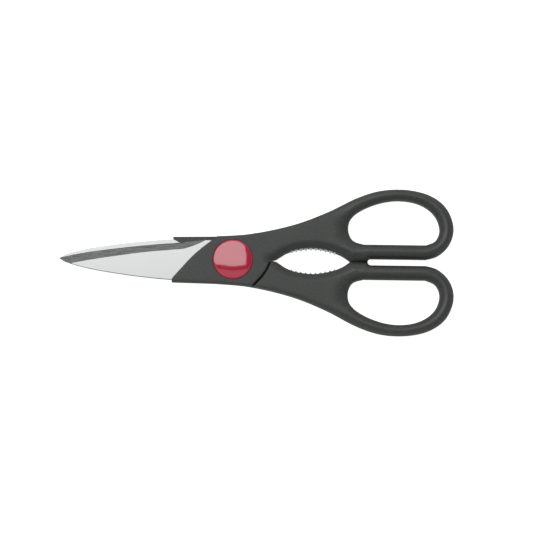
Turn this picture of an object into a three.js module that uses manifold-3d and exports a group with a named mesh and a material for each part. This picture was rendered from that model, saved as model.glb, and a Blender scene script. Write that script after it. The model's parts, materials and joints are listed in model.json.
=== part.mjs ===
// Household shears lying flat, in millimetres.
// The halves are one design, built once and turned over: +X runs to the finger loops, +Z to the front side.
// The origin is on the pivot axis, at the height of the rear cap's crown.
import * as THREE from 'three';
import { mergeVertices } from 'three/addons/utils/BufferGeometryUtils.js';
import Module from 'manifold-3d';

const wasm = await Module();
wasm.setup();

// Thicknesses, measured from the plane in which the two blades slide on each other.
const BLADE_INNER = 0.05;
const BLADE_THICK = 2.4;
const LAP_INNER = 0.1;
const HANDLE_FACE = 5.4;
const CAP_CROWN = 6.2;
const HANDLE_ROUND = 1.2;
const BLADE_OUTER = BLADE_INNER + BLADE_THICK;

// Clearances.
const TANG_CLEARANCE = 0.15;
const SEAM_GAP = 0.6;
const PAD_HALF_GAP = 0.15;
const STACK_GAP = 0.05;
const CAP_CLEARANCE = 0.15;

// The lap: the part of each handle that lies over the pivot.
const LAP_END_X = -30.7;
const LAP_HALF_WIDTH = 11.8;
const SEAM_RADIUS = 16.3;
const SEAM_FLARE = 2.3;
const SEAM_START = THREE.MathUtils.degToRad(-54.7);
const SEAM_FLARE_START = THREE.MathUtils.degToRad(-40);
const SEAM_END = THREE.MathUtils.degToRad(-1);
const SEAM_STEPS = 10;

// The jaw opening between the handles, the pads that meet behind it and the slot behind the pads.
const NOTCH_START_X = 19;
const EYE_EDGE = [
  [19.7, PAD_HALF_GAP], [20.3, 0.45], [22, 0.8], [24, 2.1], [27.5, 4.2], [33, 5.95], [41, 6.7], [49, 5.45],
  [55.4, 3.1], [59.8, PAD_HALF_GAP],
];
const SLOT_HALF_WIDTH = 1.6;
const SLOT_ROUND_X = 70.1;
const BAR_END_X = 98;
const BAR_INNER_Y = 9;

// The jaw teeth, spaced along the jaw's edge.
const TOOTH_COUNT = 9;
const TOOTH_FROM = 0.26;
const TOOTH_TO = 0.79;
const TOOTH_HEIGHT = 1.25;
const TOOTH_ROOT = 0.5;

// The blade.
const TIP_X = -88.6;
const SHOULDER_X = -26.8;
const BEVEL_WIDTH = 3.8;
const BEVEL_SLOPE = 0.4;
const CUTTING_EDGE = [
  [-92, -0.4], [-84, 1.3], [-72, 3.6], [-56, 5.8], [-42, 7.4], [-31, 8.35], [-24, 9.4], [-16, 12.8],
];

// The pivot.
const CAP_RADIUS = 10.05;
const CAP_FLAT_RADIUS = 5;
const CAP_WALL = 1.1;
const CAP_ROOF = 1;
const CAP_RIM_DROP = 0.1;
const SLEEVE_RADIUS = 3.5;
const SLEEVE_HEAD_RADIUS = 6.4;
const SLEEVE_HEAD_THICK = 1.3;
const PIVOT_CLEARANCE = 0.06;
const THREAD_RADIUS = 1.9;
const SCREW_RADIUS = 1.8;
const SCREW_HEAD_RADIUS = 5;
const SCREW_HEAD_THICK = 1.1;
const SCREW_SLOT_WIDTH = 1;
const SCREW_SLOT_DEPTH = 0.5;
const SCREW_TIP_DEPTH = 0.5;
const WASHER_RADIUS = 6.4;
const WASHER_THICK = 0.4;
const SPRING_THICK = 0.35;
const SPRING_RISE = 0.35;
const SPRING_HOLE_RADIUS = 2.1;
const ROUND_SIDES = 36;
const CURVE_STEPS = 3;

const plastic = new THREE.MeshStandardMaterial({ color: 0x4a4c4b, roughness: 0.6, metalness: 0 });
const steel = new THREE.MeshStandardMaterial({ color: 0xd6d8d7, roughness: 0.3, metalness: 1 });
const red = new THREE.MeshStandardMaterial({ color: 0xb3243c, roughness: 0.15, metalness: 0 });
const zincPlate = new THREE.MeshStandardMaterial({ color: 0xb8b9b6, roughness: 0.4, metalness: 1 });

const vectors = (pairs) => pairs.map(([x, y]) => new THREE.Vector2(x, y));

// Solids -------------------------------------------------------------------------------------------

function toSolid(geometry) {
  const bare = geometry.clone();
  bare.deleteAttribute('normal');
  bare.deleteAttribute('uv');
  const merged = mergeVertices(bare, 1e-4);
  const corners = merged.index.array;
  const triangles = [];
  for (let i = 0; i < corners.length; i += 3) {
    const [a, b, c] = corners.slice(i, i + 3);
    if (a !== b && b !== c && c !== a) triangles.push(a, b, c);
  }
  return new wasm.Manifold(new wasm.Mesh({
    numProp: 3,
    vertProperties: new Float32Array(merged.attributes.position.array),
    triVerts: new Uint32Array(triangles),
  }));
}

function toGeometry(solid) {
  const mesh = solid.getMesh();
  const geometry = new THREE.BufferGeometry();
  geometry.setAttribute('position', new THREE.BufferAttribute(mesh.vertProperties, 3));
  geometry.setIndex(new THREE.BufferAttribute(mesh.triVerts, 1));
  geometry.computeVertexNormals();
  return geometry;
}

// A plain slab of a shape between two heights.
function slab(shape, low, high) {
  const geometry = new THREE.ExtrudeGeometry(shape, {
    depth: high - low, bevelEnabled: false, curveSegments: CURVE_STEPS,
  });
  return geometry.translate(0, 0, low);
}

// A solid of revolution about Z, from [radius, height] pairs that run counter-clockwise.
function turned(profile) {
  return new THREE.LatheGeometry(vectors(profile), ROUND_SIDES).rotateX(Math.PI / 2);
}

function cylinder(radius, low, high) {
  return turned([[0, low], [radius, low], [radius, high], [0, high]]);
}

function ringProfile(inner, outer, low, high) {
  return [[inner, low], [outer, low], [outer, high], [inner, high], [inner, low]];
}

// Handle -------------------------------------------------------------------------------------------

// The end of the lap plate, from the spine side up to the jaw's corner, moved outwards by a gap.
function seamPoints(gap) {
  const points = [];
  for (let i = 0; i <= SEAM_STEPS; i += 1) {
    const angle = THREE.MathUtils.lerp(SEAM_START, SEAM_END, i / SEAM_STEPS);
    const along = Math.max(0, (angle - SEAM_FLARE_START) / (SEAM_END - SEAM_FLARE_START));
    const radius = SEAM_RADIUS + SEAM_FLARE * along ** 1.4 + gap;
    points.push([radius * Math.cos(angle), radius * Math.sin(angle)]);
  }
  return points;
}

function fingerHole() {
  const hole = new THREE.Path();
  hole.moveTo(66.5, BAR_INNER_Y);
  hole.lineTo(BAR_END_X, BAR_INNER_Y);
  hole.splineThru(vectors([
    [102.6, 11.2], [104.9, 15.2], [104.7, 19.7], [102.4, 24.5], [98, 28.4], [92, 30.9], [84.5, 31.8],
    [77, 31], [69, 28.4], [62.5, 24.7], [59.1, 20.5], [58.7, 15.2], [61.4, 11.1], [66.5, BAR_INNER_Y],
  ]));
  return hole;
}

function handleShape() {
  const shape = new THREE.Shape();
  shape.moveTo(LAP_END_X, -LAP_HALF_WIDTH);
  const seam = seamPoints(0);
  shape.splineThru(vectors([[-20, -12], [-8, -12.25], [2, -12.7], seam[0]]));
  seam.slice(1).forEach(([x, y]) => shape.lineTo(x, y));
  shape.lineTo(NOTCH_START_X, PAD_HALF_GAP);
  shape.lineTo(...EYE_EDGE[0]);
  shape.splineThru(vectors(EYE_EDGE.slice(1)));
  const slotStart = Math.asin(PAD_HALF_GAP / SLOT_HALF_WIDTH);
  shape.absarc(SLOT_ROUND_X, 0, SLOT_HALF_WIDTH, Math.PI - slotStart, Math.PI / 2, true);
  shape.lineTo(BAR_END_X, SLOT_HALF_WIDTH);
  shape.splineThru(vectors([
    [103.6, 3.2], [108.6, 7.3], [111.6, 12.9], [112.1, 19.2], [109.7, 26.3], [104.9, 31.8], [97, 35.8],
    [86, 37.55], [74, 36.6], [62, 32.5], [48, 25.2], [34, 19.4], [20, 15.4], [6, 12.8], [-8, 11.8],
  ]));
  shape.splineThru(vectors([[-14.7, 6.6], [-20.8, 1.1], [-26.6, -5.4], [LAP_END_X + 0.2, -9.9]]));
  shape.closePath();
  shape.holes.push(fingerHole());
  return shape;
}

// Everything that the other half's lap sweeps, on the far side of the sliding plane.
function otherLapCutter() {
  const clear = 60;
  const runout = 6;
  const shape = new THREE.Shape();
  const seam = seamPoints(SEAM_GAP).map(([x, y]) => [x, -y]);
  const [startX, startY] = seam[0];
  shape.moveTo(-clear, clear);
  shape.lineTo(-clear, -clear);
  shape.lineTo(NOTCH_START_X + SEAM_GAP, -clear);
  shape.lineTo(NOTCH_START_X + SEAM_GAP, 0);
  seam.reverse().forEach(([x, y]) => shape.lineTo(x, y));
  shape.lineTo(startX - SEAM_GAP, startY + runout);
  shape.lineTo(startX - SEAM_GAP, clear);
  shape.closePath();
  return slab(shape, -2 * HANDLE_FACE, LAP_INNER);
}

function handleGeometry() {
  const block = new THREE.ExtrudeGeometry(handleShape(), {
    depth: 2 * (HANDLE_FACE - HANDLE_ROUND),
    bevelThickness: HANDLE_ROUND,
    bevelSize: HANDLE_ROUND,
    bevelOffset: -HANDLE_ROUND,
    bevelSegments: 2,
    curveSegments: CURVE_STEPS,
  }).translate(0, 0, HANDLE_ROUND - HANDLE_FACE);
  const pocket = new THREE.ExtrudeGeometry(tangShape(), {
    depth: BLADE_THICK,
    bevelThickness: TANG_CLEARANCE,
    bevelSize: TANG_CLEARANCE,
    bevelSegments: 1,
    curveSegments: CURVE_STEPS,
  }).translate(0, 0, BLADE_INNER);
  const capRecess = cylinder(CAP_RADIUS + CAP_CLEARANCE, BLADE_OUTER + TANG_CLEARANCE, 2 * HANDLE_FACE);
  const solid = toSolid(block)
    .subtract(toSolid(otherLapCutter()))
    .subtract(toSolid(pocket))
    .subtract(toSolid(capRecess));
  return toGeometry(solid);
}

// Blade --------------------------------------------------------------------------------------------

// Alternate root and tip points along the jaw's edge.
function toothPoints() {
  const edge = new THREE.SplineCurve(vectors(EYE_EDGE));
  const points = [];
  for (let i = 0; i <= 2 * TOOTH_COUNT; i += 1) {
    const along = THREE.MathUtils.lerp(TOOTH_FROM, TOOTH_TO, i / (2 * TOOTH_COUNT));
    const point = edge.getPointAt(along);
    const tangent = edge.getTangentAt(along);
    const out = i % 2 === 1 ? TOOTH_HEIGHT : -TOOTH_ROOT;
    points.push([point.x + tangent.y * out, point.y - tangent.x * out]);
  }
  return points;
}

// The whole flat blade: cutting part, shoulder, and the tang that the handle is moulded round.
function tangShape() {
  const shape = new THREE.Shape();
  shape.moveTo(TIP_X, 0);
  shape.splineThru(vectors([[-84, -2.45], [-72, -5.5], [-56, -8], [-42, -9.6], [LAP_END_X, -10.5]]));
  shape.lineTo(SHOULDER_X, -8.6);
  shape.splineThru(vectors([[-14, -8.8], [-2, -9.6], [7, -9], [12.5, -5], [16.5, 2], [22, 5], [28, 6.6]]));
  toothPoints().forEach(([x, y]) => shape.lineTo(x, y));
  shape.splineThru(vectors([[54.2, 8], [54.6, 13], [50, 17.4], [38, 16.6], [24, 13], [10, 10.9], [-4, 9.9]]));
  shape.lineTo(-16.6, 9.85);
  shape.splineThru(vectors([[-24.6, 8.95], [-42, 7.4], [-56, 5.8], [-72, 3.6], [-84, 1.25], [TIP_X, 0]]));
  return shape;
}

// A wedge swept along the cutting edge and out over the heel. Its section is given as [down, outwards].
function bevelCutter() {
  const overrun = 3;
  const above = 1;
  const top = -BLADE_OUTER;
  const section = new THREE.Shape(vectors([
    [top - BEVEL_SLOPE * above, -BEVEL_WIDTH - above],
    [top + BEVEL_SLOPE * (BEVEL_WIDTH + overrun), overrun],
    [top - overrun, overrun],
    [top - overrun, -BEVEL_WIDTH - above],
  ]));
  const path = new THREE.CatmullRomCurve3(CUTTING_EDGE.map(([x, y]) => new THREE.Vector3(x, y, 0)));
  return new THREE.ExtrudeGeometry(section, { steps: 24, bevelEnabled: false, extrudePath: path });
}

function bladeGeometry() {
  const pivotHole = cylinder(SLEEVE_RADIUS + PIVOT_CLEARANCE, -1, BLADE_OUTER + 1);
  const solid = toSolid(slab(tangShape(), BLADE_INNER, BLADE_OUTER))
    .subtract(toSolid(bevelCutter()))
    .subtract(toSolid(pivotHole));
  return toGeometry(solid);
}

// Pivot --------------------------------------------------------------------------------------------

function capGeometry() {
  const foot = BLADE_OUTER + 2 * TANG_CLEARANCE;
  const roof = CAP_CROWN - CAP_ROOF;
  const inner = CAP_RADIUS - CAP_WALL;
  const rimHeight = HANDLE_FACE - CAP_RIM_DROP;
  const profile = [[0, roof], [inner, roof], [inner, foot], [CAP_RADIUS, foot], [CAP_RADIUS, rimHeight]];
  const crownSteps = 4;
  for (let i = 1; i <= crownSteps; i += 1) {
    const along = 1 - i / crownSteps;
    const radius = THREE.MathUtils.lerp(CAP_FLAT_RADIUS, CAP_RADIUS, along);
    profile.push([radius, CAP_CROWN - (CAP_CROWN - rimHeight) * along ** 2]);
  }
  profile.push([0, CAP_CROWN]);
  return turned(profile);
}

// The sleeve's head bears on the front blade, and its barrel carries both blades.
function sleeveGeometry() {
  const headLow = BLADE_OUTER + STACK_GAP;
  const headHigh = headLow + SLEEVE_HEAD_THICK;
  const barrelEnd = -BLADE_OUTER - STACK_GAP - WASHER_THICK;
  const threadEnd = BLADE_OUTER;
  return turned([
    [0, threadEnd], [THREAD_RADIUS, threadEnd], [THREAD_RADIUS, barrelEnd], [SLEEVE_RADIUS, barrelEnd],
    [SLEEVE_RADIUS, headLow], [SLEEVE_HEAD_RADIUS, headLow], [SLEEVE_HEAD_RADIUS, headHigh], [0, headHigh],
  ]);
}

function thrustWasherGeometry() {
  const high = -BLADE_OUTER - STACK_GAP;
  return turned(ringProfile(SLEEVE_RADIUS + PIVOT_CLEARANCE, WASHER_RADIUS, high - WASHER_THICK, high));
}

function springTop() {
  return -BLADE_OUTER - 2 * STACK_GAP - WASHER_THICK;
}

// A shallow cone whose rim presses on the thrust washer.
function cupSpringGeometry() {
  const top = springTop();
  return turned([
    [SPRING_HOLE_RADIUS, top - SPRING_RISE - SPRING_THICK], [WASHER_RADIUS, top - SPRING_THICK],
    [WASHER_RADIUS, top], [SPRING_HOLE_RADIUS, top - SPRING_RISE],
    [SPRING_HOLE_RADIUS, top - SPRING_RISE - SPRING_THICK],
  ]);
}

function screwGeometry() {
  const headHigh = springTop() - SPRING_RISE - SPRING_THICK - STACK_GAP;
  const headLow = headHigh - SCREW_HEAD_THICK;
  const tip = BLADE_OUTER - SCREW_TIP_DEPTH;
  const body = turned([
    [0, headLow], [SCREW_HEAD_RADIUS, headLow], [SCREW_HEAD_RADIUS, headHigh], [SCREW_RADIUS, headHigh],
    [SCREW_RADIUS, tip], [0, tip],
  ]);
  const slot = new THREE.BoxGeometry(3 * SCREW_HEAD_RADIUS, SCREW_SLOT_WIDTH, 2 * SCREW_SLOT_DEPTH)
    .translate(0, 0, headLow);
  return toGeometry(toSolid(body).subtract(toSolid(slot)));
}

// Assembly -----------------------------------------------------------------------------------------

function named(name, geometry, material) {
  const mesh = new THREE.Mesh(geometry, material);
  mesh.name = name;
  return mesh;
}

function half(side) {
  const group = new THREE.Group();
  group.add(named(`${side}_blade`, bladeGeometry(), steel));
  group.add(named(`${side}_handle`, handleGeometry(), plastic));
  group.add(named(`${side}_cap`, capGeometry(), red));
  return group;
}

const frontHalf = half('front');
const rearHalf = half('rear');
rearHalf.rotation.x = Math.PI;

const pivot = new THREE.Group();
pivot.add(named('pivot_sleeve', sleeveGeometry(), zincPlate));
pivot.add(named('thrust_washer', thrustWasherGeometry(), steel));
pivot.add(named('cup_spring', cupSpringGeometry(), steel));
pivot.add(named('pivot_screw', screwGeometry(), zincPlate));

const shears = new THREE.Group();
shears.name = 'shears';
shears.add(frontHalf, rearHalf, pivot);
shears.position.z = CAP_CROWN;

export default shears;
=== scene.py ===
# Household shears: the fine surfaces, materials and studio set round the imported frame.
import json
import math

import bmesh
import bpy
import numpy as np
from mathutils import Matrix, Vector
from mathutils.geometry import delaunay_2d_cdt


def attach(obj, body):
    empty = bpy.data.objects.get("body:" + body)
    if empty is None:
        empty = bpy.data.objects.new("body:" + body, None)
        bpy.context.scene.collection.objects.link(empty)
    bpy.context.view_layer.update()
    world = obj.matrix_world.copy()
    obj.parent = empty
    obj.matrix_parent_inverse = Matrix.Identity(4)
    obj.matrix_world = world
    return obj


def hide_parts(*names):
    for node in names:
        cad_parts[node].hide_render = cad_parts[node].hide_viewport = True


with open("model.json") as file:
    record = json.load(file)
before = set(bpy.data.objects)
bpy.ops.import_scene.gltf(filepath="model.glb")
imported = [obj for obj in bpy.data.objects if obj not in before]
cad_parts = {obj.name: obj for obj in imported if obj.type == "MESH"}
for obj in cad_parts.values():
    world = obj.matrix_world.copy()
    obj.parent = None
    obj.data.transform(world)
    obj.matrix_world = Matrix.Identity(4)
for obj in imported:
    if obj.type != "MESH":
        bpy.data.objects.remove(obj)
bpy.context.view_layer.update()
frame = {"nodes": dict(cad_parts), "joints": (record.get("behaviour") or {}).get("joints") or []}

# Shapes are drawn in millimetres from the pivot, in the plane in which the blades slide on each other.
MM = 0.001
MID_HEIGHT = frame["joints"][0]["pos_m"][2] / MM

# Heights above the sliding plane.
BLADE_INNER = 0.05
BLADE_OUTER = 2.45
LAP_INNER = 0.1
FACE = 5.3
LOOP_FACE = 5.4
CAP_CROWN = 6.2

# Outline dimensions. They are the frame's, apart from the two gaps and the corners of the loop's hole.
LAP_END_X = -30.7
LAP_HALF_WIDTH = 11.8
LAP_END_TOP_Y = -10.3
SEAM_RADIUS = 16.3
SEAM_FLARE = 2.3
SEAM_START, SEAM_FLARE_START, SEAM_END = (math.radians(a) for a in (-54.7, -40.0, -1.0))
SEAM_POWER = 1.4
SEAM_STEPS = 26
SEAM_GAP = 0.9
PAD_HALF_GAP = 0.02
NOTCH_START_X = 19.0
SLOT_HALF_WIDTH = 1.6
SLOT_ROUND_X = 70.1
BAR_END_X = 98.0
BAR_INNER_Y = 9.0
TIP_X = -88.6
SHOULDER_X = -26.8
EYE_EDGE = [
    (19.7, PAD_HALF_GAP), (20.3, 0.45), (22, 0.8), (24, 2.1), (27.5, 4.2), (33, 5.95), (41, 6.7), (49, 5.45),
    (55.4, 3.1), (59.8, PAD_HALF_GAP),
]
CAP_RADIUS = 10.05
CAP_RECESS_RADIUS = 10.2
RECESS_FLOOR = 2.6
WELL_RADIUS = 7.5
WELL_FLOOR = 2.43
SLEEVE_HOLE_RADIUS = 3.56

# Fineness of the curves, and tolerances.
STEP = 0.8
SLOT_STEP = 0.25
EYE_STEP = 0.6
STEPS_PER_KNOT = 24
SAME_POINT = 1e-4
TINY = 1e-12
DISTANCE_BATCH = 2000


# Curves and outlines ------------------------------------------------------------------------------

def spline(knots, step=STEP):
    """Points along a Catmull-Rom curve through the knots, evenly spaced, both ends included."""
    k = np.array(knots, float)
    padded = np.vstack([k[:1], k, k[-1:]])
    fine = []
    for i in range(len(k) - 1):
        p0, p1, p2, p3 = padded[i:i + 4]
        t = np.linspace(0, 1, STEPS_PER_KNOT, endpoint=False)[:, None]
        v0, v1 = (p2 - p0) / 2, (p3 - p1) / 2
        cubic = 2 * p1 - 2 * p2 + v0 + v1
        square = 3 * p2 - 3 * p1 - 2 * v0 - v1
        fine.append(cubic * t**3 + square * t**2 + v0 * t + p1)
    return resample(np.vstack(fine + [k[-1:]]), step)


def resample(points, step=STEP):
    """The same path with even spacing close to step."""
    points = np.array(points, float)
    length = np.concatenate([[0], np.cumsum(np.hypot(*np.diff(points, axis=0).T))])
    count = max(2, int(round(length[-1] / step)) + 1)
    along = np.linspace(0, length[-1], count)
    return np.stack([np.interp(along, length, points[:, 0]), np.interp(along, length, points[:, 1])], 1)


def arc(centre, radius, start, end, step=STEP):
    """Points along a round arc, both ends included."""
    count = max(3, int(abs(end - start) * radius / step) + 1)
    angles = np.linspace(start, end, count)
    return np.stack([centre[0] + radius * np.cos(angles), centre[1] + radius * np.sin(angles)], 1)


def chain(*paths):
    """Paths joined end to end, without repeated points."""
    points = np.vstack(paths)
    keep = np.ones(len(points), bool)
    keep[1:] = np.hypot(*(points[1:] - points[:-1]).T) > SAME_POINT
    return points[keep]


def flip(points):
    """The same points mirrored across the X axis."""
    return np.array(points, float) * (1, -1)


def seam(gap):
    """The lap plate's end, from the spine side to the jaw's corner, moved outwards by a gap."""
    angles = np.linspace(SEAM_START, SEAM_END, SEAM_STEPS)
    along = np.clip((angles - SEAM_FLARE_START) / (SEAM_END - SEAM_FLARE_START), 0, None)
    radius = SEAM_RADIUS + SEAM_FLARE * along**SEAM_POWER + gap
    return np.stack([radius * np.cos(angles), radius * np.sin(angles)], 1)


def smoothstep(low, high, x):
    t = np.clip((x - low) / (high - low), 0, 1)
    return t * t * (3 - 2 * t)


def distance(points, path, closed=False):
    """Distance from each point to a path of straight pieces."""
    a = path
    b = np.roll(path, -1, 0) if closed else path[1:]
    a = a if closed else path[:-1]
    ab = b - a
    nearest = np.empty(len(points))
    for start in range(0, len(points), DISTANCE_BATCH):
        batch = slice(start, start + DISTANCE_BATCH)
        p = points[batch, None, :]
        t = np.clip(((p - a) * ab).sum(2) / np.maximum((ab * ab).sum(1), TINY), 0, 1)
        gap = p - (a + t[..., None] * ab)
        nearest[batch] = np.hypot(gap[..., 0], gap[..., 1]).min(1)
    return nearest


def inside(points, loop):
    """Which points lie inside a closed loop."""
    x, y = points[:, 0][:, None], points[:, 1][:, None]
    x0, y0 = loop[:, 0], loop[:, 1]
    x1, y1 = np.roll(x0, -1), np.roll(y0, -1)
    crosses = (y0 > y) != (y1 > y)
    at = x0 + (y - y0) * (x1 - x0) / np.where(y1 == y0, TINY, y1 - y0)
    return (crosses & (x < at)).sum(1) % 2 == 1


# Handle outline, cut into the stretches that are rounded differently.
LAP_LOWER = spline([(LAP_END_X, -LAP_HALF_WIDTH), (-20, -12), (-8, -12.25), (2, -12.7), tuple(seam(0)[0])])
LAP_SEAM = seam(0)
EYE = spline(EYE_EDGE, EYE_STEP)
SLOT_START = math.asin(PAD_HALF_GAP / SLOT_HALF_WIDTH)
SLOT_END = arc((SLOT_ROUND_X, 0), SLOT_HALF_WIDTH, math.pi - SLOT_START, math.pi / 2, SLOT_STEP)
LAP_DIAGONAL = spline([(-8, 11.8), (-14.7, 6.6), (-20.8, 1.1), (-26.6, -5.4), (LAP_END_X + 0.2, -9.9)])
RIM = spline([
    (BAR_END_X, SLOT_HALF_WIDTH), (103.6, 3.2), (108.6, 7.3), (111.6, 12.9), (112.1, 19.2), (109.7, 26.3),
    (104.9, 31.8), (97, 35.8), (86, 37.55), (74, 36.6), (62, 32.5), (48, 25.2), (34, 19.4), (20, 15.4),
    (6, 12.8), (-8, 11.8),
])
HOLE = chain(
    resample([(66.5, BAR_INNER_Y), (BAR_END_X, BAR_INNER_Y)]),
    spline([
        (BAR_END_X, BAR_INNER_Y), (102.7, 11.1), (104.9, 15.2), (104.7, 19.7), (102.4, 24.5), (98, 28.4),
        (92, 30.9), (84.5, 31.8), (77, 31), (69, 28.4), (62.5, 24.7), (59.1, 20.5), (58.7, 15.2),
        (61.1, 10.8), (66.5, BAR_INNER_Y),
    ]),
)[:-1]
RECESS = arc((0, 0), CAP_RECESS_RADIUS, 0, 2 * math.pi)[:-1]
PAD_SIDE = resample([EYE[-1], SLOT_END[0]])
BAR_SIDE = resample([(SLOT_ROUND_X, SLOT_HALF_WIDTH), (BAR_END_X, SLOT_HALF_WIDTH)])
INNER_SIDE = chain(EYE, PAD_SIDE, SLOT_END, BAR_SIDE)
LAP_CORNERS = [(LAP_END_X, LAP_END_TOP_Y), (LAP_END_X, -LAP_HALF_WIDTH)]


# Meshes -------------------------------------------------------------------------------------------

# Spacing of the points inside an outline. Those in rows lie finer near its edge, and a grid fills the rest.
RING_COUNT = 7
WIDEST_SPACING = 0.45
FINEST_SPACING = 0.04
SPACING_GROWTH = 0.3
EDGE_MARGIN = 0.03
GRID_STEP = 1.6
GRID_MARGIN = 0.8

# A point in a row is kept where its room to every edge is at least this share of its depth.
LEAST_ROOM = 0.93

# How close two points are before they count as one.
MERGE_DISTANCE = 1e-5
KEY_DIGITS = 4


def triangulate(loops, extra, holes=()):
    """Constrained triangles of a region, whose outer loop comes first. Returns its points and triangles."""
    points = np.vstack(list(loops) + [extra])
    edges, start = [], 0
    for loop in loops:
        n = len(loop)
        edges += [(start + i, start + (i + 1) % n) for i in range(n)]
        start += n
    vectors = [Vector(p) for p in points]
    out, _, faces, originals, _, _ = delaunay_2d_cdt(vectors, edges, [], 0, MERGE_DISTANCE)
    out = np.array([tuple(p) for p in out])
    faces = np.array([f for f in faces if len(f) == 3])
    middle = out[faces].mean(1)
    keep = inside(middle, loops[0])
    for hole in holes:
        keep &= ~inside(middle, hole)
    order = {}
    for new, olds in enumerate(originals):
        for old in olds:
            order[old] = new
    back = [order[i] for i in range(len(points))]
    if len(out) != len(points):
        raise RuntimeError(f"the outline crosses itself: {len(points)} points became {len(out)}")
    place = {new: old for old, new in enumerate(back)}
    faces = np.array([[place[i] for i in f] for f in faces[keep]])
    a, b, c = (points[faces[:, i]] for i in range(3))
    area = (b[:, 0] - a[:, 0]) * (c[:, 1] - a[:, 1]) - (b[:, 1] - a[:, 1]) * (c[:, 0] - a[:, 0])
    faces[area < 0] = faces[area < 0][:, ::-1]
    return points, faces


def ring_points(loops, widths):
    """Rows of points that follow each loop at rising depths inside it. The third column is the depth."""
    rows = []
    for j in range(1, RING_COUNT + 1):
        share = 1 - math.cos(j / RING_COUNT * math.pi / 2)
        for loop, width in zip(loops, widths):
            tangent = np.roll(loop, -1, 0) - np.roll(loop, 1, 0)
            tangent /= np.maximum(np.hypot(*tangent.T), TINY)[:, None]
            normal = np.stack([-tangent[:, 1], tangent[:, 0]], 1)
            depth = width * share
            rows.append(np.column_stack([loop + normal * depth[:, None], depth]))
    return np.vstack(rows)


def grid_points(low, high, step):
    """A square grid of points between two corners."""
    gx, gy = np.meshgrid(np.arange(low[0], high[0], step), np.arange(low[1], high[1], step))
    return np.column_stack([gx.ravel(), gy.ravel()])


def thin_out(points, room):
    """Leaves out each point too close to an earlier one. The spacing grows with the room to the edge."""
    chosen, cells = [], {}
    for (x, y), space in zip(points, room):
        gap = min(WIDEST_SPACING, SPACING_GROWTH * space + FINEST_SPACING)
        column, row = int(x // WIDEST_SPACING), int(y // WIDEST_SPACING)
        around = [(column + dx, row + dy) for dx in (-1, 0, 1) for dy in (-1, 0, 1)]
        near = [q for cell in around for q in cells.get(cell, ())]
        if all((x - q[0]) ** 2 + (y - q[1]) ** 2 > gap * gap for q in near):
            cells.setdefault((column, row), []).append((x, y))
            chosen.append((x, y))
    return np.array(chosen)


def inner_points(loops, widths):
    """Points inside the first loop and outside the others: rows along their edges, and a coarse grid."""
    grid = grid_points(loops[0].min(0), loops[0].max(0), GRID_STEP)
    grid = np.column_stack([grid, np.full(len(grid), GRID_MARGIN)])
    candidates = np.vstack([ring_points(loops, widths), grid])
    places, depth = candidates[:, :2], candidates[:, 2]
    room = np.min([distance(places, loop, True) for loop in loops], 0)
    usable = (room > depth * LEAST_ROOM) & (room > EDGE_MARGIN) & inside(places, loops[0])
    for hole in loops[1:]:
        usable &= ~inside(places, hole)
    return thin_out(places[usable], room[usable])


class Builder:
    """Collects vertices and faces, sharing vertices that are given the same key."""

    def __init__(self):
        self.points, self.faces, self.index = [], [], {}

    def vertex(self, x, y, z):
        key = tuple(round(value, KEY_DIGITS) for value in (x, y, z))
        if key not in self.index:
            self.index[key] = len(self.points)
            self.points.append((x, y, z))
        return self.index[key]

    def face(self, corners):
        unique = []
        for c in corners:
            if c not in unique:
                unique.append(c)
        if len(unique) > 2:
            self.faces.append(tuple(unique))

    def surface(self, points, heights, faces, upward=True):
        ids = [self.vertex(x, y, z) for (x, y), z in zip(points, heights)]
        for f in faces:
            corners = [ids[i] for i in f]
            self.face(corners if upward else corners[::-1])

    def wall(self, points, top, bottom, closed=False, end_stop=None):
        """A strip down from top to bottom heights, facing right of the path's direction.
        With an end_stop, the strip's two end edges also pass through a vertex at that height."""
        n = len(points)
        for i in range(n if closed else n - 1):
            j = (i + 1) % n
            a, b = (self.vertex(*points[k], top[k]) for k in (i, j))
            c, d = (self.vertex(*points[k], bottom[k]) for k in (j, i))
            before = [self.vertex(*points[0], end_stop)] if end_stop is not None and i == 0 else []
            after = [self.vertex(*points[-1], end_stop)] if end_stop is not None and i == n - 2 else []
            self.face([b, a, *before, d, c, *after])

    def object(self, name, turned_over):
        """A Blender object in metres. A rear piece is a front one turned over about the X axis."""
        mesh = bpy.data.meshes.new(name)
        mesh.from_pydata([tuple(p) for p in self.points], [], self.faces)
        mesh.transform(Matrix.Scale(MM, 4))
        if turned_over:
            mesh.transform(Matrix.Rotation(math.pi, 4, "X"))
        mesh.transform(Matrix.Translation((0, 0, MID_HEIGHT * MM)))
        obj = bpy.data.objects.new(name, mesh)
        bpy.context.scene.collection.objects.link(obj)
        return obj


def finish_shading(obj, angle=35):
    """Smooth shading with crisp edges above an angle."""
    bm = bmesh.new()
    bm.from_mesh(obj.data)
    limit = math.radians(angle)
    for face in bm.faces:
        face.smooth = True
    for edge in bm.edges:
        if len(edge.link_faces) == 2 and edge.calc_face_angle(0) > limit:
            edge.smooth = False
    bm.to_mesh(obj.data)
    bm.free()


# Handle -------------------------------------------------------------------------------------------

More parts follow.
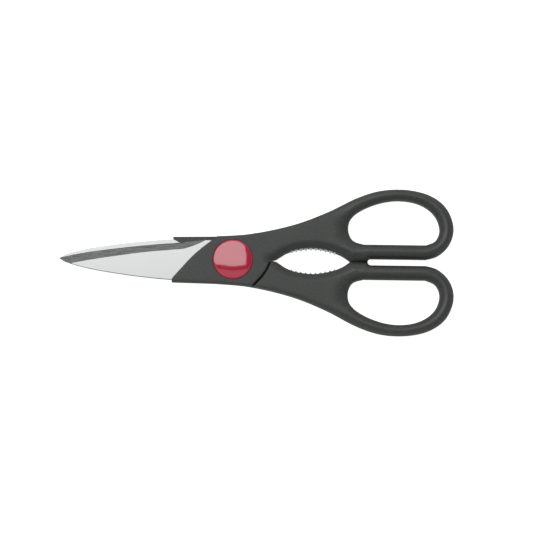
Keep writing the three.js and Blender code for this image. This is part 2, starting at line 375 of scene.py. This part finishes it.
EDGE_HEIGHT = 0.3
FACE_RISE_X = (40, 65)
ROUND_POWER = 2.15
LAP_RIM_WIDTH = 0.9
NECK_RIM_GROWTH = 1.7
NECK_GROWTH_X = (8, 42)
LOOP_RIM_GROWTH = 1.5
LOOP_GROWTH_X = (42, 64)
RIM_DROP = 0.9
RIM_DROP_X = (36, 66)
SQUARE_RIM_END_X = 30
JAW_CHAMFER_WIDTH = 3.3
JAW_CHAMFER_EDGE = 2.9
JAW_CHAMFER_CORNER = 0.06
JAW_CHAMFER_END_X = (66, 74)
BAR_ROUND_GROWTH = 2.1
BAR_ROUND_X = (54, 72)
HOLE_ROUND_LIMITS = (1.5, 9)
SHARP_ROUND = 0.6
JAW_RING_WIDTH = 3.5
HOLE_RING_WIDTH = 4.2
RECESS_RING_WIDTH = 0.3
ON_PATH = 0.01
CUT_START_MARGIN = 0.15
CUT_RIM_MARGIN = 0.4


def face_height(x):
    """Height of the flat face, which rises a little from the lap to the finger loop."""
    return FACE + (LOOP_FACE - FACE) * smoothstep(*FACE_RISE_X, x)


def round_profile(t, power=ROUND_POWER):
    """A rounded edge, from 0 at the side to 1 at the face."""
    t = np.clip(t, 0, 1)
    return (1 - (1 - t) ** power) ** (1 / power)


def chamfer_profile(t):
    """A straight slope with a small rounded corner where it meets the face."""
    corner = JAW_CHAMFER_CORNER
    t = np.clip(t, 0, 1)
    eased = t - corner / 2 - np.clip(t - 1 + corner, 0, None) ** 2 / (2 * corner)
    return np.clip(eased / (1 - corner), 0, 1)


def rim_round(x):
    """Width of the outer rim's rounding, which grows from the lap to the finger loop."""
    neck = NECK_RIM_GROWTH * smoothstep(*NECK_GROWTH_X, x)
    loop = LOOP_RIM_GROWTH * smoothstep(*LOOP_GROWTH_X, x)
    return LAP_RIM_WIDTH + neck + loop


def rim_height(x, top, bar, to_rim):
    """A small round along the lap's rim, which turns into a full one round the finger loop."""
    width = np.minimum(bar / 2, rim_round(x))
    square_edge = top - width
    loop_edge = (top - RIM_DROP * width) * (1 - smoothstep(*RIM_DROP_X, x)) + EDGE_HEIGHT
    edge = np.where(x < SQUARE_RIM_END_X, square_edge, np.minimum(loop_edge, square_edge))
    return edge + (top - edge) * round_profile(to_rim / width), width


def inner_height(x, top, bar, to_inner):
    """A straight chamfer round the jaw, which turns into the full rounding of the finger loop's bar."""
    roundness = smoothstep(*BAR_ROUND_X, x)
    width = np.maximum(bar / 2, JAW_CHAMFER_WIDTH * (1 - smoothstep(*JAW_CHAMFER_END_X, x)))
    width = np.minimum(width, JAW_CHAMFER_WIDTH + BAR_ROUND_GROWTH * roundness)
    edge = EDGE_HEIGHT + JAW_CHAMFER_EDGE * (1 - roundness)
    slope = chamfer_profile(to_inner / width)
    curve = round_profile(to_inner / width)
    return edge + (top - edge) * (slope * (1 - roundness) + curve * roundness), width


def handle_height(points, sharp_path):
    """Height of the handle's outer surface over the sliding plane."""
    x = points[:, 0]
    top = face_height(x)
    to_rim = distance(points, RIM)
    to_inner = distance(points, INNER_SIDE)
    to_hole = distance(points, HOLE, True)
    bar = to_hole + np.minimum(to_rim, to_inner)
    rim, rim_width = rim_height(x, top, bar, to_rim)
    inner, inner_width = inner_height(x, top, bar, to_inner)
    side_width = np.where(to_rim < to_inner, rim_width, inner_width)
    hole_width = np.clip(bar - side_width, *HOLE_ROUND_LIMITS)
    hole = EDGE_HEIGHT + (top - EDGE_HEIGHT) * round_profile(to_hole / hole_width)
    to_sharp = distance(points, sharp_path)
    sharp = top - SHARP_ROUND + SHARP_ROUND * round_profile(to_sharp / SHARP_ROUND, 2)
    return np.minimum.reduce([rim, inner, hole, sharp])


def edge_widths(loop):
    """How far in from each edge point the surface is rounded, to place the rings."""
    near_lap = np.minimum(distance(loop, LAP_DIAGONAL), distance(loop, LAP_LOWER)) < ON_PATH
    width = rim_round(loop[:, 0])
    width = np.where(distance(loop, INNER_SIDE) < ON_PATH, JAW_RING_WIDTH, width)
    width = np.where(distance(loop, HOLE, True) < ON_PATH, HOLE_RING_WIDTH, width)
    return np.where(near_lap, SHARP_ROUND, width)


def handle_stretches():
    """The outline in three stretches: the one that both faces share, the lap's, and the cut round the
    other half's lap."""
    cut = flip(seam(SEAM_GAP))[::-1]
    notch = np.array([(NOTCH_START_X, PAD_HALF_GAP), (cut[0][0], PAD_HALF_GAP)])
    cut = chain([notch[1]], cut[cut[:, 1] > PAD_HALF_GAP + CUT_START_MARGIN])
    rim_split = int(np.argmin(np.hypot(*(RIM - cut[-1]).T)))
    below_rim = inside(cut, chain([(BAR_END_X, -1)], RIM, [(RIM[-1][0], -1)]))
    clear_of_rim = distance(cut, RIM) > CUT_RIM_MARGIN
    cut = chain(cut[below_rim & clear_of_rim], [RIM[rim_split]])
    shared = chain(notch[1:], INNER_SIDE, RIM[:rim_split + 1])
    lap = chain(RIM[rim_split:], LAP_DIAGONAL, LAP_CORNERS, LAP_LOWER, LAP_SEAM, notch)
    return shared, lap, cut


def level(points, height):
    """The same height for every point."""
    return np.full(len(points), height)


def add_cap_recess(made, top):
    """The round pocket for the cap: a wall, a ledge under the cap's foot, and a well."""
    recess = RECESS[::-1]
    well = recess * WELL_RADIUS / CAP_RECESS_RADIUS
    made.wall(recess, top, level(recess, RECESS_FLOOR), closed=True)
    for i in range(len(recess)):
        j = (i + 1) % len(recess)
        made.face([made.vertex(*p, RECESS_FLOOR) for p in (recess[j], recess[i], well[i], well[j])])
    made.wall(well, level(well, RECESS_FLOOR), level(well, WELL_FLOOR), closed=True)
    made.face([made.vertex(x, y, WELL_FLOOR) for x, y in well[::-1]])


def build_handle(name, turned_over):
    """The front face with its lap, the back face cut away round the other lap, and the walls between."""
    shared, lap, cut = handle_stretches()
    front_sharp = chain(LAP_DIAGONAL, LAP_CORNERS, LAP_LOWER, LAP_SEAM)
    hole, recess = HOLE[::-1], RECESS[::-1]
    made = Builder()

    front = [chain(shared, lap)[:-1], hole, recess]
    widths = [edge_widths(front[0]), edge_widths(hole), level(recess, RECESS_RING_WIDTH)]
    points, faces = triangulate(front, inner_points(front, widths), holes=[HOLE, RECESS])
    made.surface(points, handle_height(points, front_sharp), faces)

    back = [chain(shared, cut[::-1])[:-1], hole]
    widths = [edge_widths(loop) for loop in back]
    points, faces = triangulate(back, inner_points(back, widths), holes=[HOLE])
    made.surface(points, -handle_height(points, cut), faces, upward=False)

    points, faces = triangulate([chain(lap, cut)[:-1]], np.zeros((0, 2)))
    made.surface(points, level(points, LAP_INNER), faces, upward=False)

    made.wall(shared, handle_height(shared, front_sharp), -handle_height(shared, cut), end_stop=LAP_INNER)
    made.wall(lap, handle_height(lap, front_sharp), level(lap, LAP_INNER))
    made.wall(cut[::-1], level(cut, LAP_INNER), -handle_height(cut[::-1], cut))
    made.wall(hole, handle_height(hole, front_sharp), -handle_height(hole, cut), closed=True)
    add_cap_recess(made, handle_height(recess, front_sharp))
    return made.object(name, turned_over)


handles = {
    "front": build_handle("front_handle_shell", False),
    "rear": build_handle("rear_handle_shell", True),
}
for side, handle in handles.items():
    finish_shading(handle)
    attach(handle, f"{side}_half")
    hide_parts(f"{side}_handle")


# Blade --------------------------------------------------------------------------------------------

HEEL_X = -12
TANG_STEP_RADIUS = 15.9
TANG_STEP = 0.5
TANG_STEP_RUN = 0.3
TANG_STEP_ARC = 1.5
BEVEL_WIDTH = 3.6
BEVEL_GROWTH = 0.8
BEVEL_GROWTH_X = (35, 80)
BEVEL_SLOPE = 0.4
MICRO_WIDTH = 0.4
MICRO_SLOPE = 1.4
SPINE_CHAMFER = 0.14
EDGE_THICK = 0.25
CUTTING_EDGE = spline([
    (-92, -0.4), (-84, 1.3), (-72, 3.6), (-56, 5.8), (-42, 7.4), (-31, 8.35), (-24, 9.4), (-16, 12.8),
])
TOOTH_COUNT, TOOTH_HEIGHT, TOOTH_ROOT = 9, 1.25, 0.5
TOOTH_FROM, TOOTH_TO = 0.26, 0.79
TOOTH_STEPS = 10
TOOTH_PATH_STEP = 0.1
TOOTH_POWER = 1.3
PAST_THE_EDGE_Y = 30
BLADE_LOW, BLADE_HIGH = (TIP_X, -11), (55, 18)
BLADE_GRID_STEP = 1.3
BLADE_GRID_MARGIN = 0.5
BLADE_LINE_STEP = 0.5
BLADE_LINE_MARGIN = 0.12


def offset(path, gap):
    """A path moved to the right of its direction, by one gap or by a gap for each point."""
    tangent = np.gradient(path, axis=0)
    tangent /= np.hypot(*tangent.T)[:, None]
    return path + np.stack([tangent[:, 1], -tangent[:, 0]], 1) * np.reshape(gap, (-1, 1))


def bevel_width(x):
    """The ground bevel widens from the heel to the tip."""
    return BEVEL_WIDTH + BEVEL_GROWTH * smoothstep(*BEVEL_GROWTH_X, -x)


def teeth():
    """Rounded teeth along the jaw's edge."""
    steps = TOOTH_STEPS * TOOTH_COUNT
    fine = resample(EYE, TOOTH_PATH_STEP)
    at = np.linspace(TOOTH_FROM, TOOTH_TO, steps + 1)
    base = np.stack([np.interp(at, np.linspace(0, 1, len(fine)), fine[:, i]) for i in (0, 1)], 1)
    wave = np.abs(((np.arange(steps + 1) / TOOTH_STEPS + 0.5) % 1) * 2 - 1)
    rise = (TOOTH_HEIGHT + TOOTH_ROOT) * (1 - wave**TOOTH_POWER) - TOOTH_ROOT
    return offset(base, rise)


SPINE = spline([(TIP_X, 0), (-84, -2.45), (-72, -5.5), (-56, -8), (-42, -9.6), (LAP_END_X, -10.5)])


def blade_outline():
    """The blade and its tang: spine, shoulder, the tang's lower edge, teeth, tang's end, heel and edge."""
    edge = spline([(-16.6, 9.85), (-24.6, 8.95), (-42, 7.4), (-56, 5.8), (-72, 3.6), (-84, 1.25), (TIP_X, 0)])
    under = spline([
        (SHOULDER_X, -8.6), (-14, -8.8), (-2, -9.6), (7, -9), (12.5, -5), (16.5, 2), (22, 5), (28, 6.6),
    ])
    row = teeth()
    end = spline([
        tuple(row[-1]), (54.2, 8), (54.6, 13), (50, 17.4), (38, 16.6), (24, 13), (10, 10.9), (-4, 9.9),
    ])
    heel = resample([end[-1], edge[0]])
    return chain(SPINE, resample([SPINE[-1], under[0]]), under, row, end, heel, edge)[:-1]


BEVEL_LINE = offset(CUTTING_EDGE, bevel_width(CUTTING_EDGE[:, 0]))
BEVEL_SIDE = chain(BEVEL_LINE, [(x, PAST_THE_EDGE_Y) for x in (BEVEL_LINE[-1][0], BEVEL_LINE[0][0])])


def blade_height(points):
    """Height of the blade's outer face: flat, with the ground bevel, the honed edge and a broken spine."""
    into_bevel = np.where(inside(points, BEVEL_SIDE), distance(points, BEVEL_LINE), 0)
    into_micro = np.clip(MICRO_WIDTH - distance(points, CUTTING_EDGE), 0, None)
    bevel = BLADE_OUTER - BEVEL_SLOPE * into_bevel - (MICRO_SLOPE - BEVEL_SLOPE) * into_micro
    spine = BLADE_OUTER - np.clip(SPINE_CHAMFER - distance(points, SPINE), 0, None)
    return np.maximum(np.minimum(bevel, spine), BLADE_INNER + EDGE_THICK)


def blade_points(outline):
    """Points inside the blade: along the lines where its faces bend, and a coarse grid."""
    lines = [BEVEL_LINE, offset(CUTTING_EDGE, MICRO_WIDTH), offset(SPINE[::-1], SPINE_CHAMFER)]
    for run in (0, TANG_STEP_RUN):
        lines.append(arc((0, 0), TANG_STEP_RADIUS + run, -TANG_STEP_ARC, TANG_STEP_ARC))
    on_lines = []
    for line in lines:
        fine = resample(line, BLADE_LINE_STEP)
        clear = distance(fine, outline, True) > BLADE_LINE_MARGIN
        on_lines.append(fine[inside(fine, outline) & clear])
    grid = grid_points(BLADE_LOW, BLADE_HIGH, BLADE_GRID_STEP)
    room = np.min([distance(grid, outline, True)] + [distance(grid, line) for line in lines], 0)
    clear = (room > BLADE_GRID_MARGIN) & (np.hypot(*grid.T) > SLEEVE_HOLE_RADIUS + BLADE_GRID_MARGIN)
    return np.vstack(on_lines + [grid[inside(grid, outline) & clear]])


def build_blade(name, turned_over):
    """A flat blade with its ground outer face. Inside the plastic, its tang's inner face is stepped back."""
    outline = blade_outline()
    bore = arc((0, 0), SLEEVE_HOLE_RADIUS, 0, 2 * math.pi, BLADE_LINE_STEP)[:-1]
    points, faces = triangulate([outline, bore], blade_points(outline), holes=[bore])
    made = Builder()
    top = blade_height(points)
    buried = (np.hypot(*points.T) > TANG_STEP_RADIUS + TANG_STEP_RUN / 2) & (points[:, 0] > 0)
    low = np.where(buried, TANG_STEP, BLADE_INNER)
    made.surface(points, top, faces)
    made.surface(points, low, faces, upward=False)
    n = len(outline)
    made.wall(outline, top[:n], low[:n], closed=True)
    made.wall(bore[::-1], top[n:n + len(bore)][::-1], low[n:n + len(bore)], closed=True)
    return made.object(name, turned_over)


blades = {
    "front": build_blade("front_blade_ground", False),
    "rear": build_blade("rear_blade_ground", True),
}
for side, blade in blades.items():
    finish_shading(blade, angle=12)
    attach(blade, f"{side}_half")
    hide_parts(f"{side}_blade")


# Caps ---------------------------------------------------------------------------------------------

CAP_FOOT = 2.75
CAP_WALL = 1.1
CAP_ROOF = 1.0
CAP_SIDES = 128
CAP_RIM = 5.0
CAP_LIP = 0.45
CAP_LIP_ARC = math.radians(81)
CAP_LIP_STEPS = 6
CAP_DOME = 0.75
CAP_POWER = 2.4
CAP_DOME_INSET = 0.5
CAP_DOME_STEPS = 20


def cap_profile():
    """Radius and height pairs: inside, foot, skirt, rounded lip and crown."""
    inner = CAP_RADIUS - CAP_WALL
    roof = CAP_CROWN - CAP_ROOF
    cup = [(0, roof), (inner, roof), (inner, CAP_FOOT), (CAP_RADIUS, CAP_FOOT)]
    lip = [
        (CAP_RADIUS - CAP_LIP + CAP_LIP * math.cos(a), CAP_RIM + CAP_LIP * math.sin(a))
        for a in np.linspace(0, CAP_LIP_ARC, CAP_LIP_STEPS)
    ]
    crown = [
        (r, CAP_CROWN - CAP_DOME * (r / CAP_RADIUS) ** CAP_POWER)
        for r in np.linspace(CAP_RADIUS - CAP_DOME_INSET, 0, CAP_DOME_STEPS)
    ]
    return cup + lip + crown


def build_cap(name, turned_over):
    """The cap's profile turned about the pivot."""
    made = Builder()
    profile = cap_profile()
    angles = np.linspace(0, 2 * math.pi, CAP_SIDES, endpoint=False)
    for (r0, z0), (r1, z1) in zip(profile, profile[1:]):
        for a0, a1 in zip(angles, np.roll(angles, -1)):
            corners = [(r0, z0, a0), (r0, z0, a1), (r1, z1, a1), (r1, z1, a0)]
            made.face([made.vertex(r * math.cos(a), r * math.sin(a), z) for r, z, a in corners])
    return made.object(name, turned_over)


caps = {
    "front": build_cap("front_cap_polished", False),
    "rear": build_cap("rear_cap_polished", True),
}
for side, cap in caps.items():
    finish_shading(cap, angle=40)
    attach(cap, f"{side}_half")
    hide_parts(f"{side}_cap")


# Materials ----------------------------------------------------------------------------------------

LOOP_BLEND_START, LOOP_BLEND_END = 0.046, 0.06
PLASTIC_COLOURS = (0.044, 0.049, 0.045), (0.077, 0.083, 0.077)
RED_COLOURS = (0.70, 0.012, 0.062), (0.75, 0.016, 0.070)
EVEN_GRAIN = (1500, 1500, 1500)


class Nodes:
    """Short names for building one material's nodes."""

    def __init__(self, name):
        self.material = bpy.data.materials.new(name)
        self.material.use_nodes = True
        self.tree = self.material.node_tree
        self.shader = self.tree.nodes["Principled BSDF"]
        self.coordinates = self.add("ShaderNodeTexCoord").outputs["Object"]

    def add(self, kind, **values):
        node = self.tree.nodes.new(kind)
        for key, value in values.items():
            if key in node.inputs:
                node.inputs[key].default_value = value
            else:
                setattr(node, key, value)
        return node

    def link(self, source, target):
        self.tree.links.new(source, target)

    def scaled(self, scale):
        mapping = self.add("ShaderNodeMapping")
        mapping.inputs["Scale"].default_value = scale
        self.link(self.coordinates, mapping.inputs["Vector"])
        return mapping.outputs["Vector"]

    def noise(self, vector, scale, detail, roughness):
        node = self.add("ShaderNodeTexNoise", Scale=scale, Detail=detail, Roughness=roughness)
        self.link(vector, node.inputs["Vector"])
        return node.outputs["Fac"]

    def ramp(self, source, low, high, start=0.0, end=1.0):
        node = self.add("ShaderNodeMapRange")
        for key, value in (("From Min", start), ("From Max", end), ("To Min", low), ("To Max", high)):
            node.inputs[key].default_value = value
        self.link(source, node.inputs["Value"])
        return node.outputs["Result"]

    def mix_colour(self, factor, first, second):
        node = self.add("ShaderNodeMix", data_type="RGBA")
        self.link(factor, node.inputs["Factor"])
        node.inputs["A"].default_value = (*first, 1)
        node.inputs["B"].default_value = (*second, 1)
        return node.outputs["Result"]

    def bump(self, height, distance, strength=1.0):
        node = self.add("ShaderNodeBump", Strength=strength, Distance=distance)
        self.link(height, node.inputs["Height"])
        self.link(node.outputs["Normal"], self.shader.inputs["Normal"])
        return node

    def set(self, **values):
        for key, value in values.items():
            self.shader.inputs[key.replace("_", " ")].default_value = value


def black_plastic():
    """Fine spark-eroded grain on the flat faces, smoother and slightly glossier on the finger loops."""
    n = Nodes("black_moulded_plastic")
    n.set(Metallic=0.0, Specular_IOR_Level=0.8)
    x = n.add("ShaderNodeSeparateXYZ")
    n.link(n.coordinates, x.inputs[0])
    loops = n.ramp(x.outputs["X"], low=0.0, high=1.0, start=LOOP_BLEND_START, end=LOOP_BLEND_END)
    grain = n.noise(n.coordinates, scale=2400, detail=4, roughness=0.75)
    cloud = n.noise(n.coordinates, scale=1300, detail=3, roughness=0.7)
    shade = n.ramp(cloud, low=0.0, high=1.0, start=0.36, end=0.64)
    n.link(n.mix_colour(shade, *PLASTIC_COLOURS), n.shader.inputs["Base Color"])
    rough = n.add("ShaderNodeMath", operation="SUBTRACT")
    n.link(n.ramp(grain, low=0.5, high=0.62), rough.inputs[0])
    n.link(n.ramp(loops, low=0.0, high=0.14), rough.inputs[1])
    n.link(rough.outputs[0], n.shader.inputs["Roughness"])
    bump = n.bump(grain, distance=0.00006)
    n.link(n.ramp(loops, low=0.35, high=0.12), bump.inputs["Strength"])
    return n.material


def steel(name, dark, light, rough, streak_scale, bump, metallic=1.0):
    """Ground steel: fine streaks, stretched along the axis that has the smaller scale."""
    n = Nodes(name)
    n.set(Metallic=metallic)
    streaks = n.noise(n.scaled(streak_scale), scale=1.0, detail=4, roughness=0.65)
    shade = n.ramp(streaks, low=0.0, high=1.0, start=0.3, end=0.7)
    n.link(n.mix_colour(shade, dark, light), n.shader.inputs["Base Color"])
    n.link(n.ramp(streaks, low=rough - 0.05, high=rough + 0.07), n.shader.inputs["Roughness"])
    n.bump(streaks, distance=0.00001, strength=bump)
    return n.material


def red_plastic():
    """Polished opaque red with a faint moulding ripple."""
    n = Nodes("red_polished_plastic")
    n.set(Roughness=0.1, Metallic=0.0, Specular_IOR_Level=1.0)
    n.set(Coat_Weight=1.0, Coat_Roughness=0.03, Coat_IOR=1.6)
    cloud = n.noise(n.coordinates, scale=160, detail=3, roughness=0.5)
    ripple = n.noise(n.coordinates, scale=420, detail=2, roughness=0.4)
    n.link(n.mix_colour(cloud, *RED_COLOURS), n.shader.inputs["Base Color"])
    n.bump(ripple, distance=0.00003, strength=0.08)
    return n.material


def assign(obj, *materials):
    obj.data.materials.clear()
    for material in materials:
        obj.data.materials.append(material)


PLASTIC = black_plastic()
FLAT_STEEL = steel(
    "satin_blade_face", dark=(0.54, 0.55, 0.55), light=(0.57, 0.58, 0.58),
    rough=0.3, streak_scale=(1500, 70, 70), bump=0.03,
)
# The bevel's streaks are real grinding marks, but its base colour, darker than the flat face's steel, is
# painted shade for the dark reflection of the tilted bevel.
BEVEL_STEEL_PAINTED_SHADE = steel(
    "ground_bevel_painted_shade", dark=(0.24, 0.25, 0.25), light=(0.48, 0.49, 0.49),
    rough=0.26, streak_scale=(170, 1500, 1500), bump=0.15,
)
# The teeth's pale, mostly diffuse colour is painted light: it stands in for the bright reflections of the
# steel teeth, so that their walls look lit as well.
TOOTH_STEEL_PAINTED_LIGHT = steel(
    "teeth_painted_light", dark=(0.66, 0.67, 0.67), light=(0.74, 0.75, 0.75),
    rough=0.45, streak_scale=EVEN_GRAIN, bump=0.2, metallic=0.25,
)
SMALL_STEEL = steel(
    "turned_zinc_plate", dark=(0.5, 0.5, 0.48), light=(0.58, 0.58, 0.56),
    rough=0.35, streak_scale=EVEN_GRAIN, bump=0.2,
)
RED = red_plastic()


# The upright part of a face's normal. The bevel's lies between the side walls' and the flat face's.
STEEPEST_BEVEL, FLATTEST_BEVEL = 0.5, 0.985


def share_out_bevel_and_teeth_slots(blade):
    """Gives the ground bevel with the honed edge, and the jaw's teeth, their own material slots, which hold
    painted shade on the bevel and painted light on the teeth.
    """
    for polygon in blade.data.polygons:
        sloping = STEEPEST_BEVEL < abs(polygon.normal.z) < FLATTEST_BEVEL
        if sloping and polygon.center.x < HEEL_X * MM:
            polygon.material_index = 1
        elif polygon.center.x > TANG_STEP_RADIUS * MM:
            polygon.material_index = 2


for handle in handles.values():
    assign(handle, PLASTIC)
for blade in blades.values():
    assign(blade, FLAT_STEEL, BEVEL_STEEL_PAINTED_SHADE, TOOTH_STEEL_PAINTED_LIGHT)
    share_out_bevel_and_teeth_slots(blade)
for cap in caps.values():
    assign(cap, RED)
for name in ("pivot_sleeve", "pivot_screw", "cup_spring", "thrust_washer"):
    assign(frame["nodes"][name], SMALL_STEEL)


# Stage --------------------------------------------------------------------------------------------

VIEW_WIDTH = 0.27125
VIEW_CENTRE = (0.0171, -0.00285)
VIEW_LEAN = 7
VIEW_ROLL = 0.8
LENS = 100
SENSOR = 36
FLOOR_REACH = 3.0
FLOOR_DROP = 0.0002
HORIZON = (-0.05, 0.1)
CEILING_EDGE = (0.55, 0.85)


def emitter(name, colour, strength):
    n = Nodes(name)
    n.set(Base_Color=(*colour, 1), Roughness=0.9, Emission_Color=(*colour, 1), Emission_Strength=strength)
    return n.material


def add_floor():
    """A white floor just under the part, which isn't seen in reflections."""
    mesh = bpy.data.meshes.new("floor")
    signs = (-1, -1), (1, -1), (1, 1), (-1, 1)
    corners = [(x * FLOOR_REACH, y * FLOOR_REACH, 0) for x, y in signs]
    mesh.from_pydata(corners, [], [(0, 1, 2, 3)])
    floor = bpy.data.objects.new("floor", mesh)
    bpy.context.scene.collection.objects.link(floor)
    floor.location.z = -FLOOR_DROP
    assign(floor, emitter("pale_floor", (0.9, 0.9, 0.9), 1.0))
    floor.visible_glossy = False


def add_panel(name, centre, size, radiance, turn=0.0):
    """A rectangular soft light of a given brightness. It faces down, or is turned towards -Y by an angle."""
    light = bpy.data.lights.new(name, "AREA")
    light.shape = "RECTANGLE"
    light.size, light.size_y = size
    light.energy = radiance * math.pi * size[0] * size[1]
    panel = bpy.data.objects.new(name, light)
    bpy.context.scene.collection.objects.link(panel)
    panel.location = centre
    panel.rotation_euler.x = -math.radians(turn)
    panel.visible_camera = False


def add_world(below, walls, ceiling):
    """Plain surroundings: one brightness under the horizon, one for the walls and one for the ceiling."""
    world = bpy.data.worlds.new("studio")
    world.use_nodes = True
    tree = world.node_tree
    split = tree.nodes.new("ShaderNodeSeparateXYZ")
    direction = tree.nodes.new("ShaderNodeTexCoord").outputs["Generated"]
    tree.links.new(direction, split.inputs[0])
    total = tree.nodes.new("ShaderNodeMath")
    steps = (HORIZON, (below, walls)), (CEILING_EDGE, (0, ceiling - walls))
    for i, (heights, strengths) in enumerate(steps):
        step = tree.nodes.new("ShaderNodeMapRange")
        for key, value in zip(("From Min", "From Max", "To Min", "To Max"), heights + strengths):
            step.inputs[key].default_value = value
        tree.links.new(split.outputs["Z"], step.inputs["Value"])
        tree.links.new(step.outputs["Result"], total.inputs[i])
    background = tree.nodes["Background"]
    background.inputs["Color"].default_value = (1, 1, 1, 1)
    tree.links.new(total.outputs[0], background.inputs["Strength"])
    bpy.context.scene.world = world


def add_camera():
    """Almost straight down, leaning a few degrees from the -Y side, with a long lens."""
    camera = bpy.data.objects.new("camera", bpy.data.cameras.new("camera"))
    bpy.context.scene.collection.objects.link(camera)
    camera.data.lens = LENS
    camera.data.sensor_width = SENSOR
    reach = VIEW_WIDTH * LENS / SENSOR
    lean, roll = math.radians(VIEW_LEAN), math.radians(VIEW_ROLL)
    camera.rotation_euler = (lean, 0, roll)
    back = camera.rotation_euler.to_matrix() @ Vector((0, 0, reach))
    camera.location = Vector((*VIEW_CENTRE, MID_HEIGHT * MM)) + back
    camera.data.clip_start, camera.data.clip_end = 0.01, 20
    bpy.context.scene.camera = camera


add_floor()
add_panel("overhead_box", centre=(-0.4, 0.39, 1.0), size=(1.2, 0.72), radiance=1.8)
add_panel("front_box", centre=(-0.1, -0.35, 1.0), size=(1.4, 0.6), radiance=0.4)
add_panel("back_card", centre=(0, 1.6, 0.75), size=(4, 0.9), radiance=0.36, turn=90)
add_world(below=0.25, walls=0.3, ceiling=0.07)
add_camera()
bpy.context.scene.view_settings.view_transform = "Standard"
